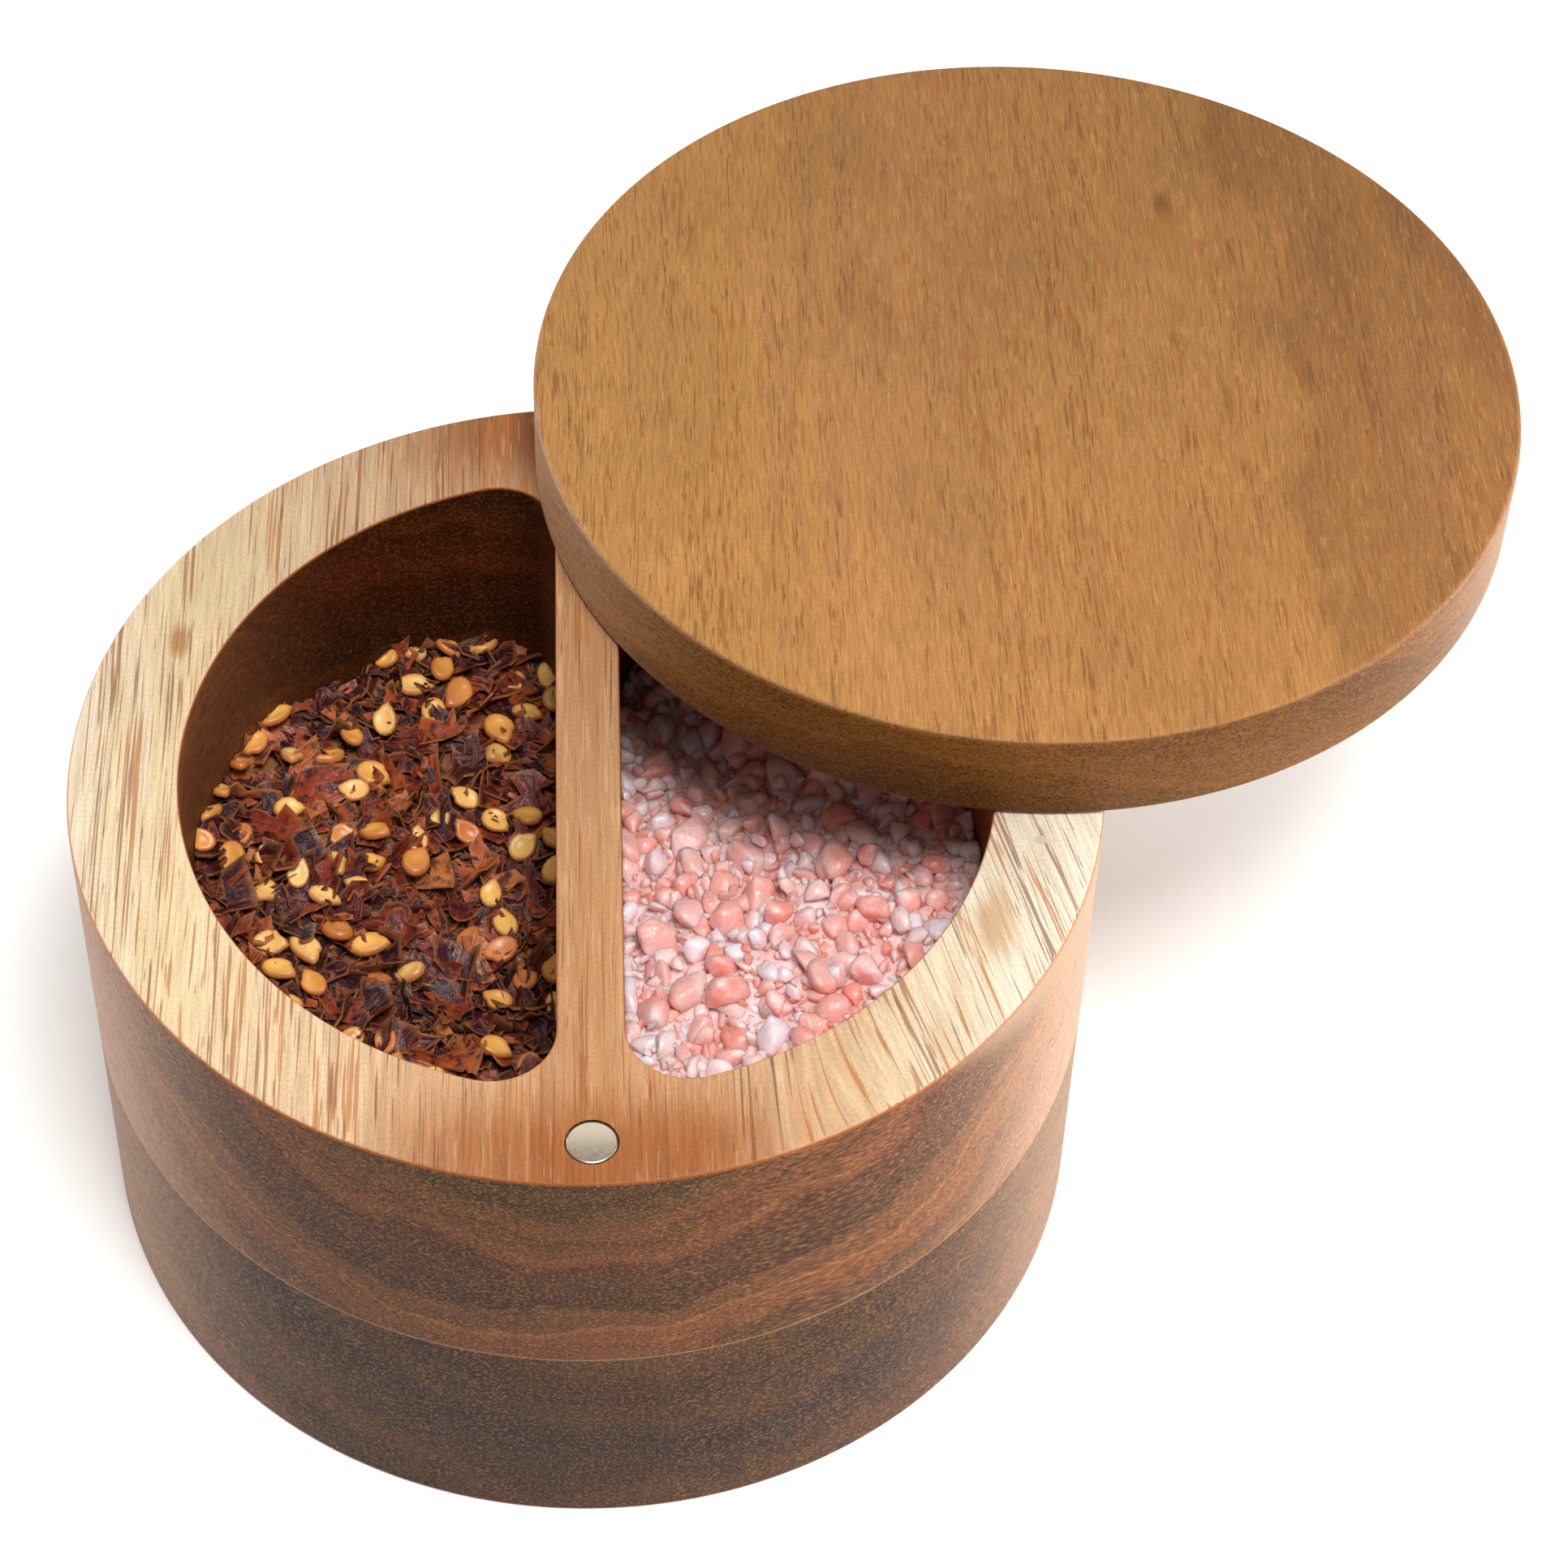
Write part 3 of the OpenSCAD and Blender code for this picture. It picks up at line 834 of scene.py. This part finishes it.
def spiceMaterial(name, colors, values):
    # Every copy takes its colour by its tint. What the finishes build on is returned too
    material, tree, shader = newMaterial(name, values)
    place = addNode(tree, "TexCoord").outputs["Object"]
    uv = addNode(tree, "UVMap", uv_map="UVMap")
    tint = addNode(tree, "Attribute", attribute_name="tint").outputs["Fac"]
    color = setStops(addNode(tree, "ValToRGB", [tint]), colors)
    return material, tree, shader, place, uv, tint, color


# Dried chilli skin: brittle and curled, waxy outside, duller and tan inside where ribs show as streaks
def flakeMaterial():
    colors = [(0.0, "#20101c"), (0.32, "#30101c"), (0.5, "#541816"), (0.68, "#842e1a"), (0.88, "#a84a24"),
              (1.0, "#c87c44")]
    material, tree, shader, place, uv, tint, color = spiceMaterial("dried chilli skin", colors, {"IOR": 1.5})
    u, v = addNode(tree, "SeparateXYZ", [uv]).outputs[:2]
    inner = addNode(tree, "Math", [u, 1.5], operation="GREATER_THAN")
    blotch = addNode(tree, "TexNoise", {"Vector": place, "Scale": 1 / (1.43 * mm), "Detail": 4.0})
    apart = addNode(tree, "Math", [tint, 40.0], operation="MULTIPLY")  # so that no two look alike
    apart = addNode(tree, "CombineXYZ", {"Z": apart})
    lines = addNode(tree, "Mapping", {"Vector": uv, "Scale": (2, 12, 1), "Location": apart})
    streak = addNode(tree, "TexNoise", {"Vector": lines, "Scale": 1.0, "Detail": 4.0, "Roughness": 0.65})
    ribs = addNode(tree, "MapRange", [streak, 0.48, 0.7, 0, 0.75])
    warm = addNode(tree, "Mix", [ribs, color, "#b4582c"], **mixed)
    inside = addNode(tree, "Mix", [0.4, warm, "#a8623a"], **mixed)
    skin = addNode(tree, "Mix", [inner, warm, inside], **mixed)
    dark = addNode(tree, "MapRange", [blotch, 0.48, 0.62, 0, 0.85])
    spotted = addNode(tree, "Mix", [dark, skin, "#2e1420"], **mixed)
    # Torn edges are paler
    away = []
    for part in (addNode(tree, "Math", [u, 2.0], operation="FLOORED_MODULO"), v):
        part = addNode(tree, "Math", [part, 0.5], operation="SUBTRACT")
        away.append(addNode(tree, "Math", [part], operation="ABSOLUTE"))
    out = addNode(tree, "Math", away, operation="MAXIMUM")
    torn = addNode(tree, "MapRange", [out, 0.42, 0.5, 0, 0.4])
    edged = addNode(tree, "Mix", [torn, spotted, "#c4824e"], **mixed)
    rough = addNode(tree, "MapRange", [inner, 0, 1, 0.34, 0.6])
    both = addNode(tree, "Math", [blotch, streak], operation="ADD")
    bump = addNode(tree, "Bump", {"Height": both, "Strength": 0.9, "Distance": 0.3 * mm})
    feed(tree, shader, {"Base Color": edged, "Roughness": rough, "Normal": bump})
    return material


# Dried chilli seed: flat, leathery and golden, redder at its rim, and light soaks in a little
def seedMaterial():
    colors = [(0.0, "#faf0dc"), (0.012, "#f2c678"), (0.45, "#ebb458"), (0.8, "#de9a48"), (1.0, "#cb7a44")]
    finish = {"IOR": 1.5, "Roughness": 0.36, "Subsurface Weight": 0.15, "Subsurface Radius": (1.0, 0.6, 0.3),
              "Subsurface Scale": 0.5 * mm}
    material, tree, shader, place, uv, tint, color = spiceMaterial("dried chilli seed", colors, finish)
    u = addNode(tree, "SeparateXYZ", [uv])
    stain = addNode(tree, "TexNoise", {"Vector": place, "Scale": 1 / (2.0 * mm), "Detail": 3.0})
    out = addNode(tree, "Math", [stain, 0.5, u], operation="MULTIPLY_ADD")
    rim = addNode(tree, "MapRange", [out, 0.85, 1.35, 0, 0.9])
    color = addNode(tree, "Mix", [rim, color, "#b8602f"], **mixed)
    pits = addNode(tree, "TexNoise", {"Vector": place, "Scale": 1 / (0.4 * mm), "Detail": 2.0})
    bump = addNode(tree, "Bump", {"Height": pits, "Strength": 0.5, "Distance": 0.08 * mm})
    feed(tree, shader, {"Base Color": color, "Normal": bump})
    return material


# Pink rock salt: cloudy crystal that light soaks into, with a painted highlight that makes its corners
# whiter, stained coral by iron
def saltMaterial(name, colors):
    finish = {"IOR": 1.54, "Subsurface Weight": 1.0, "Subsurface Radius": (1.0, 0.8, 0.75),
              "Subsurface Scale": 1.1 * mm}
    material, tree, shader, place, uv, tint, color = spiceMaterial(name, colors, finish)
    u = addNode(tree, "SeparateXYZ", [uv])
    cloud, iron, grit, chips = (
        addNode(tree, "TexNoise", {"Vector": place, "Scale": 1 / (size * mm), "Detail": detail})
        for size, detail in ((2.0, 4.0), (7.7, 2.0), (0.333, 3.0), (1.25, 2.0)))
    # Painted highlight: whiter towards the corners
    corner = addNode(tree, "Math", [u, 0.45, cloud], operation="MULTIPLY_ADD")
    white = addNode(tree, "MapRange", [corner, 0.8, 1.08, 0, 0.6])
    color = addNode(tree, "Mix", [white, color, "#fde9e6"], **mixed)
    iron = addNode(tree, "MapRange", [iron, 0.46, 0.66, 0, 0.6])
    color = addNode(tree, "Mix", [iron, color, "#f69480"], **mixed)
    rough = addNode(tree, "MapRange", [grit, 0.35, 0.65, 0.18, 0.48])
    broken = addNode(tree, "Bump", {"Height": chips, "Strength": 0.5, "Distance": 0.5 * mm})
    bump = addNode(tree, "Bump", {"Height": grit, "Strength": 0.7, "Distance": 0.1 * mm, "Normal": broken})
    feed(tree, shader, {"Base Color": color, "Roughness": rough, "Normal": bump})
    return material


chilliHeap = {"side": -1, "seed": 4.0, "below": 1.6 * mm, "bump": 1.1 * mm, "bumpSize": 9 * mm}
saltHeap = {"side": 1, "seed": 9.0, "below": 2.4 * mm, "bump": 1.4 * mm, "bumpSize": 12 * mm}
draw = random.Random(20)
flakeShapes = shapeCollection("flake", 14, lambda name: flakeMesh(name, draw))
seedShapes = shapeCollection("seed", 4, lambda name: seedMesh(name, draw))
lumpShapes = shapeCollection("lump", 10, lambda name: crystalMesh(name, draw, 18, 2, 2))
crystalShapes = shapeCollection("crystal", 10, lambda name: crystalMesh(name, draw, 14, 1, 1))
grainShapes = shapeCollection("grain", 6, lambda name: crystalMesh(name, draw, 9, 1, 1))

chilliSkin, chilliSeed = flakeMaterial(), seedMaterial()
saltLight = saltMaterial("pink rock salt, lumps", [
    (0.0, "#faedfc"), (0.2, "#fbe3e6"), (0.5, "#fbd1cd"), (0.8, "#f9bbb3"), (1.0, "#f4a192")])
saltDeep = saltMaterial("pink rock salt, grains", [
    (0.0, "#fbdddb"), (0.4, "#fac3ba"), (0.75, "#f7ad9e"), (1.0, "#f19684")])

addPiece("chilli_dust", bedMesh("chilli_dust", dict(chilliHeap, below=2.6 * mm), True), [chilliSkin], "tub",
         ["chilli_flakes"])
addPiece("salt_dust", bedMesh("salt_dust", dict(saltHeap, below=2.7 * mm), True), [saltDeep], "tub",
         ["rock_salt"])
layers = [
    ("chilli_skins", chilliHeap, flakeShapes, chilliSkin, "dried_chilli", "chilli_flakes",
     {"Spacing": 1.9 * mm, "Smallest": 0.5, "Largest": 1.7, "Tilt": 0.6, "Lift": -0.2 * mm,
      "Spread": 1.2 * mm, "Seed": 3, "Sparse": 1.0}),
    ("chilli_seeds", chilliHeap, seedShapes, chilliSeed, "dried_chilli", "chilli_flakes",
     {"Spacing": 4.6 * mm, "Smallest": 1.0, "Largest": 1.35, "Tilt": 0.5, "Lift": 1.6 * mm,
      "Spread": 0.75 * mm, "Seed": 5, "Sparse": 0.2}),
    ("salt_lumps", saltHeap, lumpShapes, saltLight, "pink_salt", "rock_salt",
     {"Spacing": 5.0 * mm, "Smallest": 4.2, "Largest": 7.4, "Tilt": 1.5, "Lift": 0.4 * mm,
      "Spread": 0.8 * mm, "Seed": 7, "Sparse": 1.0}),
    ("salt_crystals", saltHeap, crystalShapes, saltLight, "pink_salt", "rock_salt",
     {"Spacing": 2.6 * mm, "Smallest": 2.6, "Largest": 5.2, "Tilt": 1.5, "Lift": 0.1 * mm,
      "Spread": 0.8 * mm, "Seed": 11, "Sparse": 1.0}),
    ("salt_grains", saltHeap, grainShapes, saltDeep, "pink_salt", "rock_salt",
     {"Spacing": 1.3 * mm, "Smallest": 1.2, "Largest": 2.8, "Tilt": 1.5, "Lift": -0.1 * mm,
      "Spread": 0.6 * mm, "Seed": 13, "Sparse": 1.0}),
]
for name, heap, shapes, material, slot, node, layer in layers:
    mesh = scatteredMesh(name, heap, layer, shapes, material)
    mesh.materials.clear()
    addPiece(name, mesh, [material], "tub", [node])
    print(name, len(mesh.polygons), "faces")


# Floor and lights
studio = {
    "floor": 3.0,
    "sky": 0.25,
    "aim": (0, 0, 0.05),
    "key": {"size": (0.32, 0.32), "place": (0.12, -0.34, 0.95), "power": 9.6},
    "back": {"size": (1.2, 0.5), "place": (0.0, 0.95, 1.0), "power": 2.2},
    "left": {"size": (0.6, 0.3), "place": (-0.7, 0.35, 0.14), "power": 7.0},
    "right": {"size": (0.6, 0.3), "place": (0.7, 0.0, 0.14), "power": 8.0},
}


def makeFloor():
    bm = bmesh.new()
    half = studio["floor"]
    corners = [bm.verts.new((x * half, y * half, 0)) for x, y in ((-1, -1), (1, -1), (1, 1), (-1, 1))]
    bm.faces.new(corners)
    mesh = meshFrom(bm, "floor")
    # Matt paper is even and pale, so that only the part takes the eye
    paper = newMaterial("matt white paper", {"Base Color": "#f6f5f3", "Roughness": 0.9})[0]
    mesh.materials.append(paper)
    floor = bpy.data.objects.new("floor", mesh)
    bpy.context.scene.collection.objects.link(floor)


def makeLights():
    for name in ("key", "back", "left", "right"):
        box = studio[name]
        data = bpy.data.lights.new(name, "AREA")
        data.shape, data.size, data.size_y = "RECTANGLE", *box["size"]
        data.energy = box["power"]
        lamp = bpy.data.objects.new(name, data)
        bpy.context.scene.collection.objects.link(lamp)
        lamp.location = box["place"]
        lamp.rotation_mode = "QUATERNION"
        aim = Vector(studio["aim"]) - Vector(box["place"])
        lamp.rotation_quaternion = aim.to_track_quat("-Z", "Y")
    world = bpy.data.worlds.new("studio")
    world.use_nodes = True
    world.node_tree.nodes["Background"].inputs["Strength"].default_value = studio["sky"]
    world.node_tree.nodes["Background"].inputs["Color"].default_value = (1, 1, 1, 1)
    bpy.context.scene.world = world
    bpy.context.scene.view_settings.view_transform = "Standard"


makeFloor()
makeLights()
print("floor and lights made")
